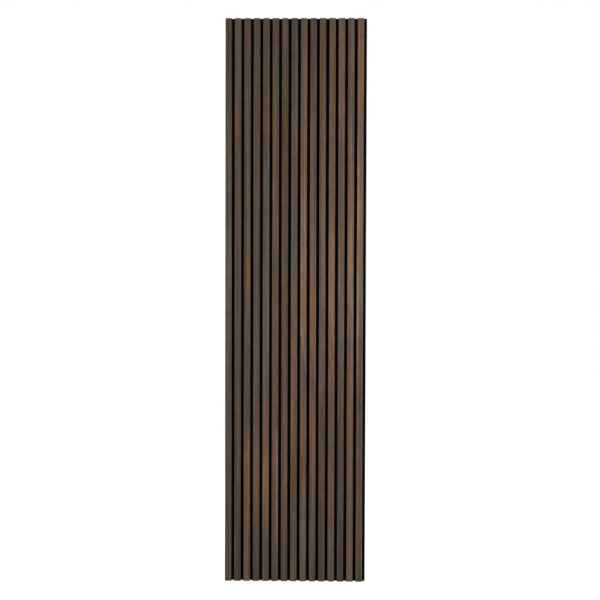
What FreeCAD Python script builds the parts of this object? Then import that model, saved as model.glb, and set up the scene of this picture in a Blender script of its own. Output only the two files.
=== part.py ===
import FreeCAD
import Part
import Sketcher
import os

# Acoustic slat wall panel, in millimetres.
#
# A black felt board carries a row of upright slats, one every slat_width + slat_gap.
# Each slat is a fibreboard core with one sheet of wood veneer folded over its front and
# both its sides. Wire staples driven from the back pass through the felt into the cores.
# The felt is as wide as the whole rhythm of slats and gaps, so the gap of the last slat
# stands free as a strip along the right edge, and the next panel butts against it.
#
# Frame: the origin is the centre of the back face, which lies on the wall. +Z runs up
# along the slats, +X to the right as seen from the front, and the slats face -Y.

DRIVING_SIZES = [
    ("panel_length", 2400, "full height of the felt and the slats"),
    ("slat_count", 15, "slats across the panel"),
    ("slat_width", 27, "over the veneer"),
    ("slat_gap", 13, "clear width between two slats"),
    ("slat_depth", 12, "from the felt to the front of the veneer"),
    ("veneer_thickness", 0.6, "the same on the front and the sides"),
    ("core_chamfer", 0.6, "on the two front edges of the fibreboard"),
    ("felt_thickness", 9, "from the wall to the back of the slats"),
    ("staple_crown", 12.8, "over both legs"),
    ("staple_bite", 7, "how far the points reach into the fibreboard"),
    ("staple_wire_width", 0.95, "across the crown"),
    ("staple_wire_thickness", 0.65, "the flat way of the wire"),
    ("staple_rows", 6, "staples along each slat"),
    ("staple_end_margin", 60, "from the panel's end to the middle of the first staple"),
]

# Expressions that more than one piece follows.
PITCH = "(Sizes.slat_width + Sizes.slat_gap)"
PANEL_WIDTH = f"Sizes.slat_count * {PITCH}"
FIRST_SLAT_X = f"(Sizes.slat_width - {PANEL_WIDTH}) / 2"
CORE_WIDTH = "(Sizes.slat_width - 2 * Sizes.veneer_thickness)"
CORE_DEPTH = "(Sizes.slat_depth - Sizes.veneer_thickness)"
FOLD_RADIUS = "(Sizes.core_chamfer + Sizes.veneer_thickness)"
STAPLE_LEG = "(Sizes.felt_thickness + Sizes.staple_bite)"

# How sketch constraints number an edge's two ends, the two axes and the origin.
START, END = range(1, 3)
X_AXIS, Y_AXIS = range(-1, -3, -1)
ORIGIN = (X_AXIS, START)


def make_sheet():
    """The driving sizes, one to a row: name, value and meaning."""
    sheet = doc.addObject("Spreadsheet::Sheet", "Sizes")
    for row, (alias, value, meaning) in enumerate(DRIVING_SIZES, start=1):
        sheet.set(f"A{row}", alias)
        sheet.set(f"B{row}", str(value))
        sheet.set(f"C{row}", meaning)
        sheet.setAlias(f"B{row}", alias)
    doc.recompute()
    return sheet


def number(expression):
    """What an expression on the sheet comes to."""
    return float(sheet.evalExpression(expression))


def own(body, role):
    """One of a body's own planes or axes, as a reference."""
    feature = next(item for item in body.Origin.OriginFeatures if item.Role == role)
    return (feature, [""])


class Outline:
    """A sketch of one closed outline, drawn edge after edge."""

    def __init__(self, body, name, plane, start):
        self.sketch = body.newObject("Sketcher::SketchObject", name)
        self.sketch.AttachmentSupport = own(body, plane)
        self.sketch.MapMode = "FlatFace"
        self.pen = FreeCAD.Vector(*start, 0)
        self.last = None

    def tie(self, kind, *points):
        """A constraint with no size of its own."""
        self.sketch.addConstraint(Sketcher.Constraint(kind, *points))

    def measure(self, name, kind, expression, *points):
        """A named dimension that follows an expression."""
        index = self.sketch.addConstraint(Sketcher.Constraint(kind, *points, number(expression)))
        self.sketch.renameConstraint(index, name)
        self.sketch.setExpression(f"Constraints.{name}", expression)

    def add(self, edge, target, joint):
        """Adds an edge from the pen to a target, and moves the pen there."""
        index = self.sketch.addGeometry(edge, False)
        if self.last is not None:
            self.tie(joint, self.last, END, index, START)
        self.last = index
        self.pen = target
        return index

    def line(self, dx, dy, joint="Coincident"):
        """A straight edge by dx, dy."""
        target = self.pen + FreeCAD.Vector(dx, dy, 0)
        index = self.add(Part.LineSegment(self.pen, target), target, joint)
        if dx == 0:
            self.tie("Vertical", index)
        if dy == 0:
            self.tie("Horizontal", index)
        return index

    def left_turn(self, dx, dy):
        """A quarter circle to the left by dx, dy, tangent to the edge before it."""
        target = self.pen + FreeCAD.Vector(dx, dy, 0)
        to_centre = FreeCAD.Vector(dx, 0, 0) if dx * dy < 0 else FreeCAD.Vector(0, dy, 0)
        centre = self.pen + to_centre
        to_corner = self.pen + target - centre * 2
        arc = Part.Arc(self.pen, centre + to_corner / 2 ** 0.5, target)
        return self.add(arc, target, "Tangent")

    def measure_chamfer(self, name, edge, outer, inner):
        """The chamfer's run and rise, from its end at the side to its end at the front."""
        ends = (edge, outer, edge, inner) if name == "left" else (edge, inner, edge, outer)
        self.measure(f"{name}_run", "DistanceX", "Sizes.core_chamfer", *ends)
        self.measure(f"{name}_rise", "DistanceY", "Sizes.core_chamfer", edge, inner, edge, outer)

    def close(self):
        first = 0
        self.tie("Coincident", self.last, END, first, START)


def pad(body, outline, name, length):
    """Pads an outline by half the length on each side of its plane."""
    feature = body.newObject("PartDesign::Pad", name)
    feature.Profile = outline.sketch
    feature.SideType = "Symmetric"
    feature.setExpression("Length", length)
    body.Tip = feature
    return feature


def place_in_row(body, slat):
    """Puts a piece of a slat at its place across the panel, counted from 1 at the left."""
    body.setExpression("Placement.Base.x", f"{FIRST_SLAT_X} + {slat - 1} * {PITCH}")


def seat_on_felt(body):
    body.setExpression("Placement.Base.y", "-Sizes.felt_thickness")


def make_felt_board():
    """The felt before it is stapled: one board with its back face on the wall."""
    body = doc.addObject("PartDesign::Body", "felt_board")
    width = number(PANEL_WIDTH)
    thickness = number("Sizes.felt_thickness")
    section = Outline(body, "felt_section", "XY_Plane", (-width / 2, 0))
    left = section.line(0, -thickness)
    front = section.line(width, 0)
    section.line(0, thickness)
    back = section.line(-width, 0)
    section.close()
    section.tie("PointOnObject", back, START, X_AXIS)
    section.measure("left_edge", "DistanceX", f"-{PANEL_WIDTH} / 2", *ORIGIN, left, START)
    section.measure("width", "DistanceX", PANEL_WIDTH, front, START, front, END)
    section.measure("thickness", "DistanceY", "Sizes.felt_thickness", left, END, left, START)
    pad(body, section, "felt_pad", "Sizes.panel_length")
    return body


def make_core_strip(slat):
    """A fibreboard strip, its two front edges chamfered so that the veneer can fold round."""
    body = doc.addObject("PartDesign::Body", f"core_strip_{slat:02d}")
    width = number(CORE_WIDTH)
    depth = number(CORE_DEPTH)
    chamfer = number("Sizes.core_chamfer")
    section = Outline(body, "core_section", "XY_Plane", (-width / 2, 0))
    left = section.line(0, chamfer - depth)
    left_chamfer = section.line(chamfer, -chamfer)
    section.line(width - 2 * chamfer, 0)
    right_chamfer = section.line(chamfer, chamfer)
    section.line(0, depth - chamfer)
    back = section.line(-width, 0)
    section.close()
    section.tie("PointOnObject", back, START, X_AXIS)
    section.measure("left_side", "DistanceX", f"-{CORE_WIDTH} / 2", *ORIGIN, left, START)
    section.measure("width", "DistanceX", CORE_WIDTH, left, START, back, START)
    section.measure("depth", "DistanceY", CORE_DEPTH, left_chamfer, END, *ORIGIN)
    section.measure_chamfer("left", left_chamfer, START, END)
    section.measure_chamfer("right", right_chamfer, END, START)
    pad(body, section, "core_pad", "Sizes.panel_length")
    place_in_row(body, slat)
    seat_on_felt(body)
    return body


def make_veneer(slat):
    """One sheet of veneer folded round a core: up one side, over the front, down the other."""
    body = doc.addObject("PartDesign::Body", f"slat_{slat:02d}_veneer")
    width = number("Sizes.slat_width")
    depth = number("Sizes.slat_depth")
    thickness = number("Sizes.veneer_thickness")
    chamfer = number("Sizes.core_chamfer")
    radius = number(FOLD_RADIUS)
    side = depth - radius
    front = width - 2 * radius
    section = Outline(body, "veneer_section", "XY_Plane", (-width / 2, 0))
    left = section.line(0, -side)
    left_fold = section.left_turn(radius, -radius)
    section.line(front, 0, "Tangent")
    right_fold = section.left_turn(radius, radius)
    section.line(0, side, "Tangent")
    right_end = section.line(-thickness, 0)
    section.line(0, -side)
    right_chamfer = section.line(-chamfer, -chamfer)
    inside = section.line(-front, 0)
    left_chamfer = section.line(-chamfer, chamfer)
    section.line(0, side)
    left_end = section.line(-thickness, 0)
    section.close()
    section.tie("PointOnObject", right_end, START, X_AXIS)
    section.tie("PointOnObject", left_end, START, X_AXIS)
    section.tie("Equal", left_fold, right_fold)
    layer = "Sizes.veneer_thickness"
    section.measure("fold", "Radius", FOLD_RADIUS, left_fold)
    section.measure("left_side", "DistanceX", "-Sizes.slat_width / 2", *ORIGIN, left, START)
    section.measure("width", "DistanceX", "Sizes.slat_width", left, START, right_end, START)
    section.measure("depth", "DistanceY", "Sizes.slat_depth", left_fold, END, *ORIGIN)
    section.measure("left_layer", "DistanceX", layer, left_end, END, left_end, START)
    section.measure("right_layer", "DistanceX", layer, right_end, END, right_end, START)
    section.measure("front_layer", "DistanceY", layer, left_fold, END, inside, END)
    section.measure_chamfer("left", left_chamfer, END, START)
    section.measure_chamfer("right", right_chamfer, START, END)
    pad(body, section, "veneer_pad", "Sizes.panel_length")
    place_in_row(body, slat)
    seat_on_felt(body)
    return body


def make_staple_row(slat):
    """The staples of one slat, one above the other along its centre line.

    Each crown lies along the slat, flush with the back face, and both legs go through the
    felt into the fibreboard. The inner corner of each leg's end is cut back by the
    thickness of the wire, which leaves a chisel point.
    """
    body = doc.addObject("PartDesign::Body", f"staple_row_{slat:02d}")
    crown = number("Sizes.staple_crown")
    leg = number(STAPLE_LEG)
    wire = number("Sizes.staple_wire_thickness")
    # On this plane the outline's x is the panel's Y, and its y is the panel's Z.
    bend = Outline(body, "staple_outline", "YZ_Plane", (0, -crown / 2))
    outside = bend.line(0, crown)
    upper_leg = bend.line(-leg, 0)
    upper_point = bend.line(wire, -wire)
    bend.line(leg - 2 * wire, 0)
    inside = bend.line(0, 2 * wire - crown)
    bend.line(2 * wire - leg, 0)
    lower_point = bend.line(-wire, -wire)
    lower_leg = bend.line(leg, 0)
    bend.close()
    bend.tie("PointOnObject", outside, START, Y_AXIS)
    flat = "Sizes.staple_wire_thickness"
    bend.measure("lower_end", "DistanceY", "-Sizes.staple_crown / 2", *ORIGIN, outside, START)
    bend.measure("crown", "DistanceY", "Sizes.staple_crown", outside, START, outside, END)
    bend.measure("upper_leg", "DistanceX", STAPLE_LEG, upper_leg, END, upper_leg, START)
    bend.measure("lower_leg", "DistanceX", STAPLE_LEG, lower_leg, START, lower_leg, END)
    bend.measure("crown_wire", "DistanceX", flat, inside, START, outside, END)
    bend.measure("upper_wire", "DistanceY", flat, inside, START, outside, END)
    bend.measure("lower_wire", "DistanceY", flat, outside, START, inside, END)
    bend.measure("upper_cut", "DistanceX", flat, upper_point, START, upper_point, END)
    bend.measure("lower_cut", "DistanceX", flat, lower_point, END, lower_point, START)
    staple = pad(body, bend, "staple", "Sizes.staple_wire_width")
    row = body.newObject("PartDesign::LinearPattern", "staples_up_the_slat")
    row.Originals = [staple]
    row.Direction = own(body, "Z_Axis")
    row.Mode = "Extent"
    row.setExpression("Length", "Sizes.panel_length - 2 * Sizes.staple_end_margin")
    row.setExpression("Occurrences", "Sizes.staple_rows")
    body.Tip = row
    body.setExpression("Placement.Base.z", "Sizes.staple_end_margin - Sizes.panel_length / 2")
    place_in_row(body, slat)
    return body


def stapled(blank, staples, name):
    """A piece with the grooves and holes that the staples have made in it."""
    cut = doc.addObject("Part::Cut", name)
    cut.Base = blank
    cut.Tool = staples
    return cut


def check(item, solids):
    """Stops if an object has failed, or has not come out as so many sound solids."""
    if "Invalid" in item.State or "Error" in item.State:
        raise RuntimeError(f"{item.Label}: {item.State}")
    if item.Shape.isNull() or not item.Shape.isValid():
        raise RuntimeError(f"{item.Label}: no valid shape")
    if len(item.Shape.Solids) != solids:
        raise RuntimeError(f"{item.Label}: {len(item.Shape.Solids)} solids, not {solids}")


doc = FreeCAD.newDocument("acoustic_slat_panel")
sheet = make_sheet()
slats = range(1, int(number("Sizes.slat_count")) + 1)
staples_in_row = int(number("Sizes.staple_rows"))

staple_rows = [make_staple_row(slat) for slat in slats]
staples = doc.addObject("Part::Compound", "staples")
staples.Links = staple_rows

felt_board = make_felt_board()
felt_backing = stapled(felt_board, staples, "felt_backing")

core_strips = [make_core_strip(slat) for slat in slats]
cores = [
    stapled(strip, row, f"slat_{slat:02d}_core")
    for slat, strip, row in zip(slats, core_strips, staple_rows)
]
veneers = [make_veneer(slat) for slat in slats]
doc.recompute()

for item in doc.Objects:
    if "Invalid" in item.State or "Error" in item.State:
        raise RuntimeError(f"{item.Label}: {item.State}")
check(staples, len(slats) * staples_in_row)
for piece in [felt_backing, *cores, *veneers]:
    check(piece, 1)
for blank, piece in zip([felt_board, *core_strips], [felt_backing, *cores]):
    if piece.Shape.Volume >= blank.Shape.Volume:
        raise RuntimeError(f"{piece.Label}: the staples have made no holes")

os.makedirs("parts", exist_ok=True)
for piece in [felt_backing, staples, *cores, *veneers]:
    piece.Shape.exportStep(f"parts/{piece.Label}.step")
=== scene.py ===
import math

import bpy
from mathutils import Matrix, Vector


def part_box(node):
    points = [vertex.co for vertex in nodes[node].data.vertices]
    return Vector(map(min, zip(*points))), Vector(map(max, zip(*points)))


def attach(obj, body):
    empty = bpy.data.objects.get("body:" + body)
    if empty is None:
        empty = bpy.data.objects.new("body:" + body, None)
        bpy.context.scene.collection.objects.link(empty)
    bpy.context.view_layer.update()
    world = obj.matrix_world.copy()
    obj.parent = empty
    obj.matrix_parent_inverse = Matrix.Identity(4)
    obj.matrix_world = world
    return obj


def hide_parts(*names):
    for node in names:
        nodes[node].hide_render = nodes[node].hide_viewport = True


# Acoustic slat wall panel, in metres: fifteen fibreboard slats wrapped in dark smoked
# veneer, stapled to a board of black felt. The origin is the middle of the back face,
# +Z runs up the slats, and they face -Y.

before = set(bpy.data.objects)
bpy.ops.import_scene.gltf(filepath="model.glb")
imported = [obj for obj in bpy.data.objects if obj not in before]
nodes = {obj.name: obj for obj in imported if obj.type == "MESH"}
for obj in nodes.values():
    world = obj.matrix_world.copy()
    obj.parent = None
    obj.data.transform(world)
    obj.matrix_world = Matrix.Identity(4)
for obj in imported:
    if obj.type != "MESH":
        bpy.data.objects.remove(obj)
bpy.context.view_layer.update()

FELT_LOW, FELT_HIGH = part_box("felt_backing")
FIRST_LOW, FIRST_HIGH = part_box("slat_01_veneer")
SECOND_LOW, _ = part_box("slat_02_veneer")
CORE_LOW, CORE_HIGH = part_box("slat_01_core")

FOOT = FELT_LOW.z
LENGTH = FELT_HIGH.z - FELT_LOW.z
PITCH = SECOND_LOW.x - FIRST_LOW.x
SLAT_HALF_WIDTH = (FIRST_HIGH.x - FIRST_LOW.x) / 2
SLAT_COUNT = sum(name.endswith("_veneer") for name in nodes)
VENEER_THICKNESS = CORE_LOW.x - FIRST_LOW.x

# The veneer's folded corners and its eased cut ends.
FOLD_RADIUS = 0.0012
FOLD_STEPS = 6
CUT_EASE = 0.00012
CUT_EASE_STEPS = 2
CUT_ANGLE = math.radians(50)

# The felt's soft edges and its uneven face, cut into rows of panes.
FELT_EASE = 0.0010
FELT_EASE_STEPS = 3
FELT_PANES = 48
FELT_UNEVENNESS = 0.0003
FELT_WAVE = 0.05

# A pucker round each staple's crown: how far from the crown its rings lie, from the widest,
# how much deeper each lies than the one outside it, and how much a ring takes in beyond itself.
PUCKER_RINGS = (0.0060, 0.0030, 0.0012)
PUCKER_STEP = 0.00009
RING_SLACK = 1.05

# A surface that turns by more than this shows an edge. Points closer than this are one place.
SHARP_ANGLE = math.radians(40)
TOUCHING = 1e-5


def slat_middle(number):
    """The middle of a slat from side to side. The first slat is number 1."""
    return FIRST_LOW.x + SLAT_HALF_WIDTH + (number - 1) * PITCH


# Nodes

class Reading:
    """What a socket gives. Arithmetic on a number that it gives adds the Math nodes for it."""

    def __init__(self, recipe, socket):
        self.recipe = recipe
        self.socket = socket

    def work(self, operation, *terms):
        """The value of a Math node with these terms."""
        inputs = dict(enumerate(terms))
        return self.recipe.node("ShaderNodeMath", {"operation": operation}, inputs)["Value"]

    def __add__(self, other):
        return self.work("ADD", self, other)

    def __radd__(self, other):
        return self.work("ADD", other, self)

    def __sub__(self, other):
        return self.work("SUBTRACT", self, other)

    def __rsub__(self, other):
        return self.work("SUBTRACT", other, self)

    def __mul__(self, other):
        return self.work("MULTIPLY", self, other)

    def __rmul__(self, other):
        return self.work("MULTIPLY", other, self)

    def __truediv__(self, other):
        return self.work("DIVIDE", self, other)

    def __abs__(self):
        return self.work("ABSOLUTE", self)


def set_stops(ramp, stops):
    """Gives a ramp its colours, from its start to its end."""
    ramp.elements[0].position, ramp.elements[0].color = stops[0]
    ramp.elements[1].position, ramp.elements[1].color = stops[-1]
    for place, colour in stops[1:-1]:
        ramp.elements.new(place).color = colour


class Recipe:
    """The nodes of a material or of the world, begun from none."""

    def __init__(self, owner):
        self.owner = owner
        owner.use_nodes = True
        self.tree = owner.node_tree
        self.tree.nodes.clear()

    def node(self, kind, settings=None, inputs=None):
        """Adds a node: its settings first, then the values or links of its sockets."""
        added = self.tree.nodes.new(kind)
        for name, value in (settings or {}).items():
            if name == "stops":
                set_stops(added.color_ramp, value)
            else:
                setattr(added, name, value)
        sockets = {socket.identifier: socket for socket in added.inputs}
        for key, value in (inputs or {}).items():
            socket = added.inputs[key] if isinstance(key, int) else sockets[key]
            if isinstance(value, Reading):
                self.tree.links.new(value.socket, socket)
            else:
                socket.default_value = value
        return {socket.identifier: Reading(self, socket) for socket in added.outputs}

    def seen(self):
        """1 where something is seen, itself or in a gloss, and 0 where it only gives light."""
        rays = self.node("ShaderNodeLightPath")
        return rays["Is Camera Ray"] + rays["Is Glossy Ray"] + rays["Is Transmission Ray"]

    def ending_in(self, output, surface):
        """Puts a shader on the surface, and gives back what the nodes belong to."""
        self.node(output, {}, {"Surface": surface})
        return self.owner


class Finish(Recipe):
    """A material of the panel, and the patterns that it is mixed from."""

    def __init__(self, name):
        super().__init__(bpy.data.materials.new(name))
        self.object_place = self.node("ShaderNodeTexCoord")["Object"]
        axes = self.node("ShaderNodeSeparateXYZ", {}, {"Vector": self.object_place})
        self.x, self.y, self.z = axes["X"], axes["Y"], axes["Z"]

    def noise(self, place, seed, detail=2.0, warp=0.0):
        """Soft random blotches one unit across, from 0 to 1."""
        inputs = {"Vector": place, "W": seed, "Scale": 1.0, "Detail": detail, "Distortion": warp}
        return self.node("ShaderNodeTexNoise", {"noise_dimensions": "4D"}, inputs)["Fac"]

    def cloud(self, grain, seed, centre=(0, 0, 0), **look):
        """Soft random blotches one grain across, from 0 to 1. A grain has a size along each axis."""
        inputs = {"Vector": self.object_place, "Location": centre, "Scale": grain}
        place = self.node("ShaderNodeMapping", {"vector_type": "TEXTURE"}, inputs)["Vector"]
        return self.noise(place, seed, **look)

    def rise(self, value, low, high):
        """0 below low, 1 above high, and a smooth rise between."""
        inputs = {"Value": value, "From Min": low, "From Max": high}
        return self.node("ShaderNodeMapRange", {"interpolation_type": "SMOOTHSTEP"}, inputs)["Result"]

    def band(self, value, low, high, fade):
        """1 between low and high, fading out on both sides."""
        return self.rise(value, low - fade, low + fade) * self.rise(value, high + fade, high - fade)

    def mixed(self, first, second, share, blend="MIX"):
        """The first colour with this share of the second laid over it."""
        settings = {"data_type": "RGBA", "blend_type": blend}
        inputs = {"Factor_Float": share, "A_Color": first, "B_Color": second}
        return self.node("ShaderNodeMix", settings, inputs)["Result_Color"]

    def scaled(self, colour, amount):
        """A colour made lighter or darker."""
        inputs = {"Vector": colour, "Scale": amount}
        return self.node("ShaderNodeVectorMath", {"operation": "SCALE"}, inputs)["Vector"]

    def bumped(self, height, depth, strength):
        """The surface's normal once this height is laid over it."""
        inputs = {"Height": height, "Distance": depth, "Strength": strength}
        return self.node("ShaderNodeBump", {}, inputs)["Normal"]

    def coated(self, **sockets):
        """The material with a Principled surface, its sockets named with underscores."""
        inputs = {name.replace("_", " "): value for name, value in sockets.items()}
        surface = self.node("ShaderNodeBsdfPrincipled", {}, inputs)["BSDF"]
        return self.ending_in("ShaderNodeOutputMaterial", surface)


def even(size):
    """A grain that is as large along every axis."""
    return (size, size, size)


# Veneer

# The veneer's tones, as a maker names them.
TONES = {
    "umber": (0.066, 0.043, 0.027, 1),
    "slate": (0.072, 0.051, 0.036, 1),
    "walnut": (0.084, 0.054, 0.033, 1),
    "ash": (0.090, 0.061, 0.041, 1),
    "moss": (0.084, 0.059, 0.033, 1),
    "plum": (0.073, 0.047, 0.034, 1),
    "rose": (0.097, 0.059, 0.040, 1),
    "russet": (0.118, 0.063, 0.033, 1),
    "oak": (0.112, 0.074, 0.046, 1),
    "honey": (0.143, 0.090, 0.054, 1),
    "copper": (0.155, 0.083, 0.042, 1),
    "blond": (0.185, 0.120, 0.075, 1),
    "sapwood": (0.360, 0.265, 0.190, 1),
}

# Fine stripes of the grain pull every tone a little towards one of these.
SILVERY_TINT = (0.83, 0.99, 1.18, 1)
RUDDY_TINT = (1.15, 0.955, 0.775, 1)

# The fifteen slats from left to right. All heights are above the foot. The tones are given
# from the top down, each after its height. A streak runs along the grain: its tone, its side
# from -1 at the left edge to 1 at the right edge, its lower and upper end, and its half
# width. A flame crosses the grain: its tone, its height, and how far it climbs from the left
# edge to the right. An arch is a bundle of growth rings cut aslant: its height, its climb,
# and how far up the slat it reaches.
SLATS = [
    {"tones": [(2.3, "umber"), (1.8, "ash"), (0.95, "ash"), (0.75, "slate"), (0.45, "umber"),
               (0.3, "umber"), (0.1, "slate")]},
    {"tones": [(2.2, "ash"), (1.95, "walnut"), (1.75, "umber"), (1.5, "umber"), (1.2, "slate"),
               (0.95, "slate"), (0.7, "walnut"), (0.4, "plum"), (0.1, "umber")],
     "streaks": [("slate", 0.6, 1.0, 1.9, 0.35)],
     "flames": [("oak", 0.47, 0.22), ("umber", 1.6, 0.0)]},
    {"tones": [(2.3, "ash"), (1.95, "walnut"), (1.7, "umber"), (1.3, "walnut"), (0.9, "slate"),
               (0.7, "slate"), (0.5, "russet"), (0.3, "walnut"), (0.1, "ash")],
     "streaks": [("russet", 0.25, 1.15, 2.38, 0.28), ("copper", 0.40, 0.22, 0.60, 0.28)]},
    {"tones": [(1.8, "walnut"), (1.35, "umber"), (1.1, "slate"), (0.8, "slate"), (0.5, "rose"),
               (0.3, "walnut"), (0.1, "slate")]},
    {"tones": [(2.3, "walnut"), (1.7, "ash"), (1.3, "rose"), (0.85, "rose"), (0.6, "russet"),
               (0.45, "honey"), (0.25, "slate")],
     "streaks": [("copper", 0.5, 0.22, 0.50, 0.25)]},
    {"tones": [(2.3, "plum"), (2.1, "moss"), (1.9, "rose"), (1.7, "walnut"), (1.4, "slate"),
               (1.1, "slate"), (0.8, "walnut"), (0.65, "rose"), (0.47, "copper"),
               (0.27, "russet"), (0.1, "ash")],
     "streaks": [("moss", -0.6, 1.2, 2.1, 0.3), ("blond", 0.55, 0.15, 0.60, 0.25)]},
    {"tones": [(2.3, "rose"), (2.05, "moss"), (1.85, "umber"), (1.6, "umber"), (1.3, "walnut"),
               (1.0, "plum"), (0.75, "plum"), (0.5, "ash"), (0.2, "slate")],
     "flames": [("honey", 0.43, 0.12)]},
    {"tones": [(1.95, "ash"), (1.6, "plum"), (1.3, "walnut"), (0.9, "rose"), (0.7, "rose"),
               (0.45, "umber"), (0.1, "slate")],
     "flames": [("honey", 1.93, -0.12), ("russet", 0.76, 0.15)],
     "arches": [(1.02, -0.12, 0.10)]},
    {"tones": [(2.3, "ash"), (2.1, "oak"), (1.75, "russet"), (1.5, "honey"), (1.05, "honey"),
               (0.9, "rose"), (0.75, "russet"), (0.5, "russet"), (0.3, "oak")],
     "streaks": [("blond", -0.35, 0.98, 1.42, 0.35)],
     "flames": [("umber", 0.29, 0.0)],
     "arches": [(0.95, -0.18, 0.20)]},
    {"tones": [(2.3, "plum"), (1.95, "ash"), (1.75, "walnut"), (1.5, "rose"), (1.25, "russet"),
               (1.05, "russet"), (0.85, "rose"), (0.65, "russet"), (0.4, "rose"),
               (0.25, "rose"), (0.1, "walnut")],
     "flames": [("umber", 0.93, -0.18)],
     "arches": [(0.90, -0.20, 0.22)]},
    {"tones": [(2.3, "moss"), (1.95, "ash"), (1.5, "oak"), (1.15, "rose"), (0.85, "rose"),
               (0.7, "umber")],
     "streaks": [("oak", -0.65, 1.0, 1.65, 0.25), ("ash", 0.75, 0.8, 1.9, 0.2)]},
    {"tones": [(2.1, "walnut"), (1.6, "ash"), (1.45, "honey"), (1.2, "honey"), (1.0, "russet"),
               (0.75, "walnut"), (0.3, "walnut"), (0.1, "ash")],
     "streaks": [("walnut", 0.8, 1.1, 1.65, 0.2)],
     "arches": [(0.93, -0.20, 0.22)]},
    {"tones": [(2.35, "honey"), (2.05, "rose"), (1.75, "walnut"), (1.4, "ash"), (0.95, "ash"),
               (0.75, "walnut"), (0.6, "umber"), (0.1, "plum")],
     "streaks": [("ash", 0.6, 0.9, 1.5, 0.2)],
     "flames": [("honey", 2.32, -0.10), ("honey", 2.07, -0.14), ("honey", 1.98, -0.14)]},
    {"tones": [(2.3, "ash"), (2.05, "walnut"), (1.9, "oak"), (1.75, "russet"), (1.5, "honey"),
               (1.25, "honey"), (1.0, "rose"), (0.8, "rose"), (0.5, "walnut"), (0.3, "slate"),
               (0.1, "ash")],
     "streaks": [("russet", 0.35, 0.35, 0.9, 0.25), ("walnut", 0.8, 0.6, 1.0, 0.2)],
     "arches": [(0.98, -0.20, 0.16)]},
    {"tones": [(2.35, "oak"), (2.1, "honey"), (1.9, "oak"), (1.6, "honey"), (1.25, "oak"),
               (1.0, "walnut"), (0.75, "umber"), (0.5, "plum"), (0.3, "walnut"), (0.1, "moss")],
     "streaks": [("sapwood", -0.70, 1.46, 1.86, 0.12), ("sapwood", -0.74, 0.95, 1.36, 0.10),
                 ("walnut", 0.8, 1.2, 1.8, 0.2)],
     "flames": [("honey", 2.09, -0.1)]},
]

# How these marks end and how the grain carries them: sideways in half widths of the slat,
# and otherwise in metres up the slat.
STREAK_END_FADE = 0.10
STREAK_SIDE_FADE = 0.16
FLAME_HALF_HEIGHT = 0.012
FLAME_FADE = 0.025
FLAME_SWAY = 0.08
ARCH_FADE = 0.03
ARCH_SWAY = 0.05
SIDE_SWAY = 0.5
TONGUE_REACH = 0.22

# How far apart growth rings lie along the slat where an arch cuts them.
BROAD_RINGS = 0.046
FINE_RINGS = 0.013

# Where the colour begins to be greyer, and where the veneer begins to bend round its corners and takes
# painted shade, in half widths from the middle.
GREYER_FROM = 0.70
SHADED_FOLD_FROM = 0.93


class Veneer(Finish):
    """The veneer of one slat, with that slat's own grain."""

    def __init__(self, number):
        super().__init__(f"smoked_veneer_{number:02d}")
        self.number = number
        self.centre = (slat_middle(number), FIRST_LOW.y, FOOT)
        self.height = self.z - FOOT
        self.off_middle = (self.x - self.centre[0]) / SLAT_HALF_WIDTH
        self.wander = self.grain(width=0.020, length=0.30, seed=0.0) - 0.5
        self.side = self.off_middle + SIDE_SWAY * self.wander

    def grain(self, width, length, seed, **look):
        """Blotches this wide, drawn out to this length along the slat: from 0 to 1."""
        return self.cloud((width, width, length), self.number + seed, self.centre, **look)

    def slant(self, climb, sway):
        """The height above the foot less that of a swaying line that climbs from edge to edge."""
        return self.height - climb * self.side * 0.5 + sway * self.wander

    def rings(self, height, spacing, seed):
        """Growth rings about this far apart, crossed as the height climbs: from 0 to 1."""
        place = self.node("ShaderNodeCombineXYZ", {}, {"X": height / spacing})["Vector"]
        return self.noise(place, self.number + seed)


def veneer_tones(veneer, slat):
    """The slat's long tones, its streaks and flames, and a greyer tone near its edges."""
    tongues = veneer.grain(width=0.005, length=0.90, seed=0.3) - 0.5
    height = veneer.height + TONGUE_REACH * tongues
    stops = [(tone_height / LENGTH, TONES[tone]) for tone_height, tone in reversed(slat["tones"])]
    colour = veneer.node("ShaderNodeValToRGB", {"stops": stops}, {"Fac": height / LENGTH})["Color"]
    for tone, at, low, high, width in slat.get("streaks", ()):
        along = veneer.band(height, low, high, STREAK_END_FADE)
        across = veneer.band(veneer.side, at - width, at + width, STREAK_SIDE_FADE)
        colour = veneer.mixed(colour, TONES[tone], along * across)
    for tone, at, climb in slat.get("flames", ()):
        slope = veneer.slant(climb, FLAME_SWAY)
        flame = veneer.band(slope, at - FLAME_HALF_HEIGHT, at + FLAME_HALF_HEIGHT, FLAME_FADE)
        colour = veneer.mixed(colour, TONES[tone], 0.9 * flame)
    near_edge = veneer.rise(abs(veneer.off_middle), GREYER_FROM, 1.0)
    return veneer.mixed(colour, TONES["ash"], 0.35 * near_edge)


def veneer_light(veneer, slat, lines):
    """How much lighter or darker than its tones the wood is: 1 is neither."""
    stripes = veneer.grain(width=0.0038, length=0.60, seed=0.5)
    drift = veneer.grain(width=0.030, length=0.22, seed=0.55)
    mottle = veneer.grain(width=0.022, length=0.045, seed=0.6, detail=3.0, warp=0.8)
    flecks = veneer.grain(width=0.0030, length=0.030, seed=0.65, warp=0.4)
    light = 1 + 2.4 * (stripes - 0.5) + 0.4 * (drift - 0.5) + 0.6 * (mottle - 0.5)
    light = light + 0.6 * (flecks - 0.5) + 0.6 * (lines - 0.5)
    for at, climb, reach in slat.get("arches", ()):
        slope = veneer.slant(climb, ARCH_SWAY)
        near = veneer.band(slope, at - reach / 2, at + reach / 2, ARCH_FADE)
        broad = veneer.rings(slope, BROAD_RINGS, seed=0.9) - 0.5
        fine = veneer.rings(slope, FINE_RINGS, seed=0.95) - 0.5
        light = light + near * (3.0 * broad + 1.5 * fine)
    return light


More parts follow.
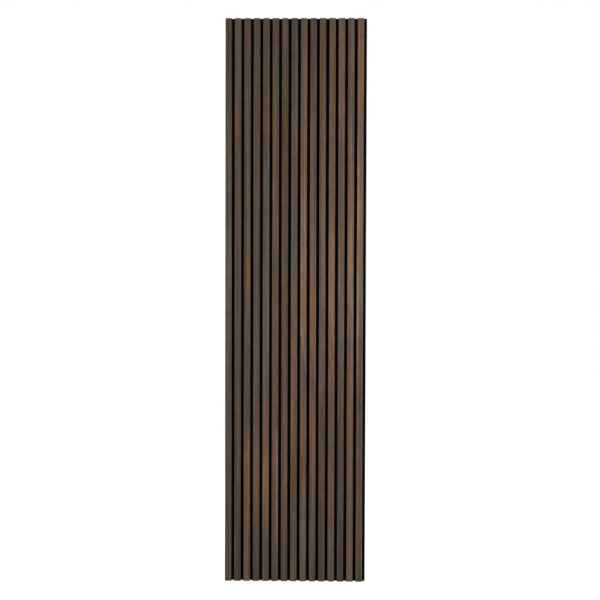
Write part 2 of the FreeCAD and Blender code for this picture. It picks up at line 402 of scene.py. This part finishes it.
def veneer_finish(number, slat):
    """Smoked veneer under a satin lacquer: long tones, fine grain lines and open pores."""
    veneer = Veneer(number)
    warmth = veneer.grain(width=0.0042, length=0.40, seed=0.4)
    tint = veneer.mixed(SILVERY_TINT, RUDDY_TINT, veneer.rise(warmth, 0.30, 0.70))
    colour = veneer.mixed(veneer_tones(veneer, slat), tint, 1.0, blend="MULTIPLY")
    lines = veneer.grain(width=0.0009, length=0.10, seed=0.7, detail=3.0, warp=0.2)
    pores = veneer.rise(veneer.grain(width=0.00045, length=0.009, seed=0.8), 0.60, 0.72)
    # Painted shade: the bent corners and the sides, which stand in the gaps between the slats, are
    # darkened by up to 35 per cent.
    painted_fold_shade = veneer.rise(abs(veneer.off_middle), SHADED_FOLD_FROM, 1.0)
    light = veneer_light(veneer, slat, lines) * (1 - 0.45 * pores) * (1 - 0.35 * painted_fold_shade)
    relief = veneer.bumped(0.4 * lines - pores, depth=0.00008, strength=0.6)
    roughness = 0.46 + 0.12 * lines + 0.15 * pores
    return veneer.coated(Base_Color=veneer.scaled(colour, light), Roughness=roughness,
                         Normal=relief, Specular_IOR_Level=0.16)


# Felt

# The felt's black: deep between its clumps, in them, and in the fibres that lie over them.
FELT_DEPTHS = (0.0004, 0.0003, 0.0003, 1)
FELT_CLUMP = (0.0036, 0.0031, 0.0028, 1)
SHORT_FIBRE = (0.012, 0.0108, 0.0100, 1)
MIDDLING_FIBRE = (0.024, 0.0215, 0.0200, 1)
LONG_FIBRE = (0.036, 0.0320, 0.0298, 1)


def strands(finish, spacing, seed, width):
    """Thin curling fibres about this far apart, each broken off here and there: from 0 to 1."""
    field = finish.cloud(even(spacing), seed, detail=1.0, warp=1.5)
    length = finish.cloud(even(spacing / 2), seed + 0.5)
    return (1 - finish.rise(abs(field - 0.5), 0.0, width)) * finish.rise(length, 0.42, 0.56)


def felt_finish():
    """Black needled felt: clumps of short fibres, and paler ones curling over them.

    Its front half, which shows between the slats, is darkened with painted shade, and it is paler
    towards its back.
    """
    finish = Finish("black_felt")
    clouding = finish.cloud(even(0.060), seed=1.0, detail=4.0)
    clumps = finish.cloud(even(0.0030), seed=2.0, detail=4.0, warp=1.5)
    long_fibres = strands(finish, spacing=0.0060, seed=3.0, width=0.020)
    middling_fibres = strands(finish, spacing=0.0044, seed=5.0, width=0.022)
    short_fibres = strands(finish, spacing=0.0024, seed=7.0, width=0.040)
    colour = finish.mixed(FELT_DEPTHS, FELT_CLUMP, clumps)
    colour = finish.mixed(colour, SHORT_FIBRE, 0.5 * short_fibres)
    colour = finish.mixed(colour, MIDDLING_FIBRE, 0.6 * middling_fibres)
    colour = finish.mixed(colour, LONG_FIBRE, 0.6 * long_fibres)
    # Painted shade: the felt's front half, seen in the gaps between the slats, is darkened to 0.7 of
    # its colour, and the felt grows paler towards its back.
    painted_shade_fades = finish.rise(finish.y, (FELT_LOW.y + FELT_HIGH.y) / 2, FELT_HIGH.y)
    colour = finish.scaled(colour, (0.3 + 1.4 * clouding) * (0.7 + 1.6 * painted_shade_fades))
    fluff = clumps + 0.5 * short_fibres + 0.6 * middling_fibres + 0.7 * long_fibres
    relief = finish.bumped(fluff + clouding, depth=0.0006, strength=0.8)
    return finish.coated(Base_Color=colour, Roughness=1.0, Normal=relief, Specular_IOR_Level=0.02,
                         Sheen_Weight=0.010, Sheen_Roughness=0.5)


# Fibreboard and wire

# The board is pressed harder and looks darker in a skin this deep along its front and back.
PALE_CHIP = (0.360, 0.240, 0.138, 1)
DARK_CHIP = (0.250, 0.155, 0.083, 1)
PRESSED_SKIN = (0.205, 0.127, 0.068, 1)
SKIN_DEPTH = 0.0022

CLEAN_ZINC = (0.330, 0.337, 0.348, 1)
DULL_ZINC = (0.200, 0.206, 0.216, 1)


def fibreboard_finish():
    """Brown fibreboard, sawn across at the ends: pressed fibres and fine saw lines."""
    finish = Finish("brown_fibreboard")
    chips = finish.cloud(even(0.0011), seed=1.0, detail=4.0, warp=0.8)
    dust = finish.cloud(even(0.0004), seed=2.0)
    saw = finish.cloud((0.0007, 0.030, 0.030), seed=3.0)
    half_depth = (CORE_HIGH.y - CORE_LOW.y) / 2
    off_middle = abs(finish.y - (CORE_LOW.y + CORE_HIGH.y) / 2)
    skin = finish.rise(off_middle, half_depth - SKIN_DEPTH, half_depth)
    colour = finish.mixed(PALE_CHIP, DARK_CHIP, chips)
    colour = finish.mixed(colour, PRESSED_SKIN, 0.5 * skin)
    colour = finish.scaled(colour, 0.8 + 0.25 * dust + 0.15 * saw)
    relief = finish.bumped(chips + 0.6 * saw + 0.4 * dust, depth=0.00018, strength=0.7)
    return finish.coated(Base_Color=colour, Roughness=0.85 - 0.1 * chips, Normal=relief,
                         Specular_IOR_Level=0.25)


def wire_finish():
    """Galvanised staple wire, drawn along its length."""
    finish = Finish("galvanised_wire")
    bloom = finish.cloud(even(0.0020), seed=1.0, detail=3.0)
    drawn = finish.cloud((0.00012, 0.00012, 0.0040), seed=2.0)
    colour = finish.mixed(CLEAN_ZINC, DULL_ZINC, finish.rise(bloom, 0.3, 0.7))
    relief = finish.bumped(drawn, depth=0.00003, strength=0.5)
    return finish.coated(Base_Color=colour, Metallic=1.0, Roughness=0.42 + 0.25 * bloom, Normal=relief)


# Modelling

def pick_nothing():
    """Leaves edit mode and drops every selection."""
    if bpy.context.object and bpy.context.object.mode != "OBJECT":
        bpy.ops.object.mode_set(mode="OBJECT")
    bpy.ops.object.select_all(action="DESELECT")


def start_block(name, low, high):
    """A block between two corners, placed in its mesh and open for editing."""
    pick_nothing()
    bpy.ops.mesh.primitive_cube_add(size=1, location=(low + high) / 2, scale=high - low)
    piece = bpy.context.object
    piece.name = name
    bpy.ops.object.transform_apply(location=True, rotation=True, scale=True)
    bpy.ops.object.mode_set(mode="EDIT")
    bpy.ops.mesh.select_all(action="DESELECT")
    return piece


def pick(piece, kind, wanted):
    """Selects the faces, edges or vertices of a piece in edit mode that the test wants."""
    bpy.ops.mesh.select_mode(type=kind)
    bpy.ops.mesh.select_all(action="DESELECT")
    bpy.ops.object.mode_set(mode="OBJECT")
    mesh = piece.data
    parts = {"FACE": mesh.polygons, "EDGE": mesh.edges, "VERT": mesh.vertices}[kind]
    for part in parts:
        part.select = wanted(part)
    bpy.ops.object.mode_set(mode="EDIT")


def add_modifier(piece, name, kind, **settings):
    """Adds a modifier with its settings and applies it."""
    modifier = piece.modifiers.new(name, kind)
    for setting, value in settings.items():
        setattr(modifier, setting, value)
    bpy.context.view_layer.objects.active = piece
    bpy.ops.object.modifier_apply(modifier=name)


def copy_along(piece, name, step):
    """A copy with its own mesh, moved within that mesh."""
    copy = piece.copy()
    copy.data = piece.data.copy()
    copy.name = name
    copy.data.transform(Matrix.Translation(step))
    bpy.context.scene.collection.objects.link(copy)
    return copy


def smooth(piece):
    """Smooth shading, with an edge wherever the surface turns sharply."""
    pick_nothing()
    piece.select_set(True)
    bpy.context.view_layer.objects.active = piece
    bpy.ops.object.shade_smooth_by_angle(angle=SHARP_ANGLE)


def dress(piece, material):
    """Puts one finish on the whole piece."""
    piece.data.materials.clear()
    piece.data.materials.append(material)


def fold_veneer():
    """The first slat's veneer: one sheet folded over the front and both sides of its core."""
    sheet = start_block("veneer_01", FIRST_LOW, FIRST_HIGH)
    pick(sheet, "FACE", lambda face: face.normal.y > 0.5 or abs(face.normal.z) > 0.5)
    bpy.ops.mesh.delete(type="FACE")

    def is_front_corner(edge):
        """Whether an edge runs up the sheet where its front meets a side."""
        first, second = (sheet.data.vertices[index].co for index in edge.vertices)
        at_front = max(first.y, second.y) - FIRST_LOW.y < TOUCHING
        return at_front and abs(first.z - second.z) > LENGTH / 2

    pick(sheet, "EDGE", is_front_corner)
    bpy.ops.mesh.bevel(offset=FOLD_RADIUS, segments=FOLD_STEPS)
    bpy.ops.object.mode_set(mode="OBJECT")
    add_modifier(sheet, "thickness", "SOLIDIFY", thickness=VENEER_THICKNESS, offset=-1.0,
                 use_even_offset=True)
    add_modifier(sheet, "eased_cuts", "BEVEL", width=CUT_EASE, segments=CUT_EASE_STEPS,
                 limit_method="ANGLE", angle_limit=CUT_ANGLE)
    return sheet


def crown_places():
    """Where the staples' crowns lie in the back of the felt: their columns, rows and half height."""
    columns = [slat_middle(number) for number in range(1, SLAT_COUNT + 1)]
    heights = sorted({round(vertex.co.z, 5) for vertex in nodes["staples"].data.vertices})
    crowns = []
    for height in heights:
        if crowns and height - crowns[-1][0] < PITCH:
            crowns[-1][1] = height
        else:
            crowns.append([height, height])
    rows = [(low + high) / 2 for low, high in crowns]
    half_crown = (crowns[0][1] - crowns[0][0]) / 2
    return columns, rows, half_crown


def cut_panes(columns, rows, half_crown):
    """Cuts the felt beside every crown, and in even rows between them."""
    across = [column + side * ring for column in columns for ring in PUCKER_RINGS for side in (-1, 1)]
    across += [column + PITCH / 2 for column in columns[:-1]]
    outward = [side * (half_crown + ring) for ring in PUCKER_RINGS for side in (-1, 1)]
    upward = [row + distance for row in rows for distance in outward]
    upward += [FOOT + LENGTH * (step + 0.5) / FELT_PANES for step in range(FELT_PANES)]
    for axis, places in ((Vector((1, 0, 0)), across), (Vector((0, 0, 1)), upward)):
        for place in places:
            bpy.ops.mesh.select_all(action="SELECT")
            bpy.ops.mesh.bisect(plane_co=axis * place, plane_no=axis)


def pull_in(felt, columns, rows, half_crown):
    """Pulls the felt's back in towards every crown, ring by ring."""
    back = FELT_HIGH.y - PUCKER_STEP * len(PUCKER_RINGS)

    def from_crown(point):
        """How far a point of the back face is from the nearest crown."""
        sideways = min(abs(point.x - column) for column in columns)
        beyond = max(0, min(abs(point.z - row) for row in rows) - half_crown)
        return math.hypot(sideways, beyond)

    for ring in PUCKER_RINGS:
        reach = ring * RING_SLACK
        pick(felt, "VERT", lambda vertex: vertex.co.y > back and from_crown(vertex.co) < reach)
        bpy.ops.transform.translate(value=(0, -PUCKER_STEP, 0))


def press_felt():
    """The felt board: soft cut edges, an uneven face, and a pucker where each staple pulls it in."""
    felt = start_block("felt_board", FELT_LOW, FELT_HIGH)
    bpy.ops.mesh.select_all(action="SELECT")
    bpy.ops.mesh.bevel(offset=FELT_EASE, segments=FELT_EASE_STEPS)
    columns, rows, half_crown = crown_places()
    cut_panes(columns, rows, half_crown)
    pull_in(felt, columns, rows, half_crown)
    bpy.ops.object.mode_set(mode="OBJECT")
    waves = bpy.data.textures.new("felt_unevenness", "CLOUDS")
    waves.noise_scale = FELT_WAVE
    add_modifier(felt, "uneven", "DISPLACE", texture=waves, strength=FELT_UNEVENNESS, mid_level=1.0)
    return felt


# Pieces

first_sheet = fold_veneer()
for number, slat in enumerate(SLATS, start=1):
    sheet = first_sheet
    if number > 1:
        sheet = copy_along(first_sheet, f"veneer_{number:02d}", Vector(((number - 1) * PITCH, 0, 0)))
    smooth(sheet)
    dress(sheet, veneer_finish(number, slat))
    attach(sheet, "root")
    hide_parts(f"slat_{number:02d}_veneer")

felt = press_felt()
smooth(felt)
dress(felt, felt_finish())
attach(felt, "root")
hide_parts("felt_backing")

brown_fibreboard = fibreboard_finish()
for number in range(1, SLAT_COUNT + 1):
    dress(nodes[f"slat_{number:02d}_core"], brown_fibreboard)
dress(nodes["staples"], wire_finish())


# Studio

WHITE = (1, 1, 1, 1)

# Where it is seen, the floor glows, and light on its shade makes up the rest of its white, so
# that a shadow shows. Its paint is what the light that it throws back comes from.
FLOOR_SIZE = 60
FLOOR_GLOW = 0.82
FLOOR_SHADE = (0.35, 0.35, 0.35, 1)
FLOOR_PAINT = (0.80, 0.80, 0.80, 1)

# A camera looks straight down until it is turned up to level.
CAMERA_PLACE = (0.0984, -4.5, 0.1123)
CAMERA_YAW = math.radians(1.015)
CAMERA_PITCH = math.radians(-1.357)
CAMERA_ROLL = math.radians(0.169)
CAMERA_LENS = 63.13
CAMERA_REACH = 200
LEVEL = math.radians(90)


def pale_floor():
    """A white floor: seen, it is as white as the background but for the panel's own shadow."""
    pick_nothing()
    bpy.ops.mesh.primitive_plane_add(size=FLOOR_SIZE, location=(0, 0, FOOT))
    floor = bpy.context.object
    floor.name = "studio_floor"
    coat = Recipe(bpy.data.materials.new("studio_white"))
    glow = coat.node("ShaderNodeEmission", {}, {"Color": WHITE, "Strength": FLOOR_GLOW})["Emission"]
    shade = coat.node("ShaderNodeBsdfDiffuse", {}, {"Color": FLOOR_SHADE})["BSDF"]
    plain = coat.node("ShaderNodeBsdfDiffuse", {}, {"Color": FLOOR_PAINT})["BSDF"]
    white = coat.node("ShaderNodeAddShader", {}, {0: glow, 1: shade})["Shader"]
    surface = coat.node("ShaderNodeMixShader", {}, {0: coat.seen(), 1: plain, 2: white})["Shader"]
    dress(floor, coat.ending_in("ShaderNodeOutputMaterial", surface))


def white_surroundings(fill):
    """An even white all round: full white where it is seen, and a plain soft fill as light."""
    air = Recipe(bpy.data.worlds.new("studio"))
    inputs = {"Value": air.seen(), "To Min": fill, "To Max": 1.0}
    strength = air.node("ShaderNodeMapRange", {}, inputs)["Result"]
    inputs = {"Color": WHITE, "Strength": strength}
    white = air.node("ShaderNodeBackground", {}, inputs)["Background"]
    bpy.context.scene.world = air.ending_in("ShaderNodeOutputWorld", white)


def soft_box(name, place, target, size, watts):
    """A square lamp that faces its target."""
    lamp = bpy.data.lights.new(name, "AREA")
    lamp.shape = "SQUARE"
    lamp.size = size
    lamp.energy = watts
    holder = bpy.data.objects.new(name, lamp)
    holder.location = place
    holder.rotation_euler = (Vector(target) - Vector(place)).to_track_quat("-Z", "Y").to_euler()
    bpy.context.scene.collection.objects.link(holder)


def photo_camera():
    """Far in front, a little right of the middle and a little above it, as in the photograph."""
    camera = bpy.data.cameras.new("photo_camera")
    camera.lens = CAMERA_LENS
    camera.clip_end = CAMERA_REACH
    holder = bpy.data.objects.new("photo_camera", camera)
    turn = Matrix.Rotation(CAMERA_YAW, 4, "Z")
    turn = turn @ Matrix.Rotation(LEVEL + CAMERA_PITCH, 4, "X")
    turn = turn @ Matrix.Rotation(CAMERA_ROLL, 4, "Z")
    holder.matrix_world = Matrix.Translation(CAMERA_PLACE) @ turn
    bpy.context.scene.collection.objects.link(holder)
    bpy.context.scene.camera = holder


pale_floor()
white_surroundings(fill=0.56)
soft_box("right_soft_box", place=(1.35, -2.2, 0.2), target=(0.1, 0, 0.1), size=1.2, watts=52)
soft_box("back_soft_box", place=(-1.5, 2.2, 0.5), target=(0, 0, 0), size=1.4, watts=45)
photo_camera()
bpy.context.scene.view_settings.view_transform = "Standard"
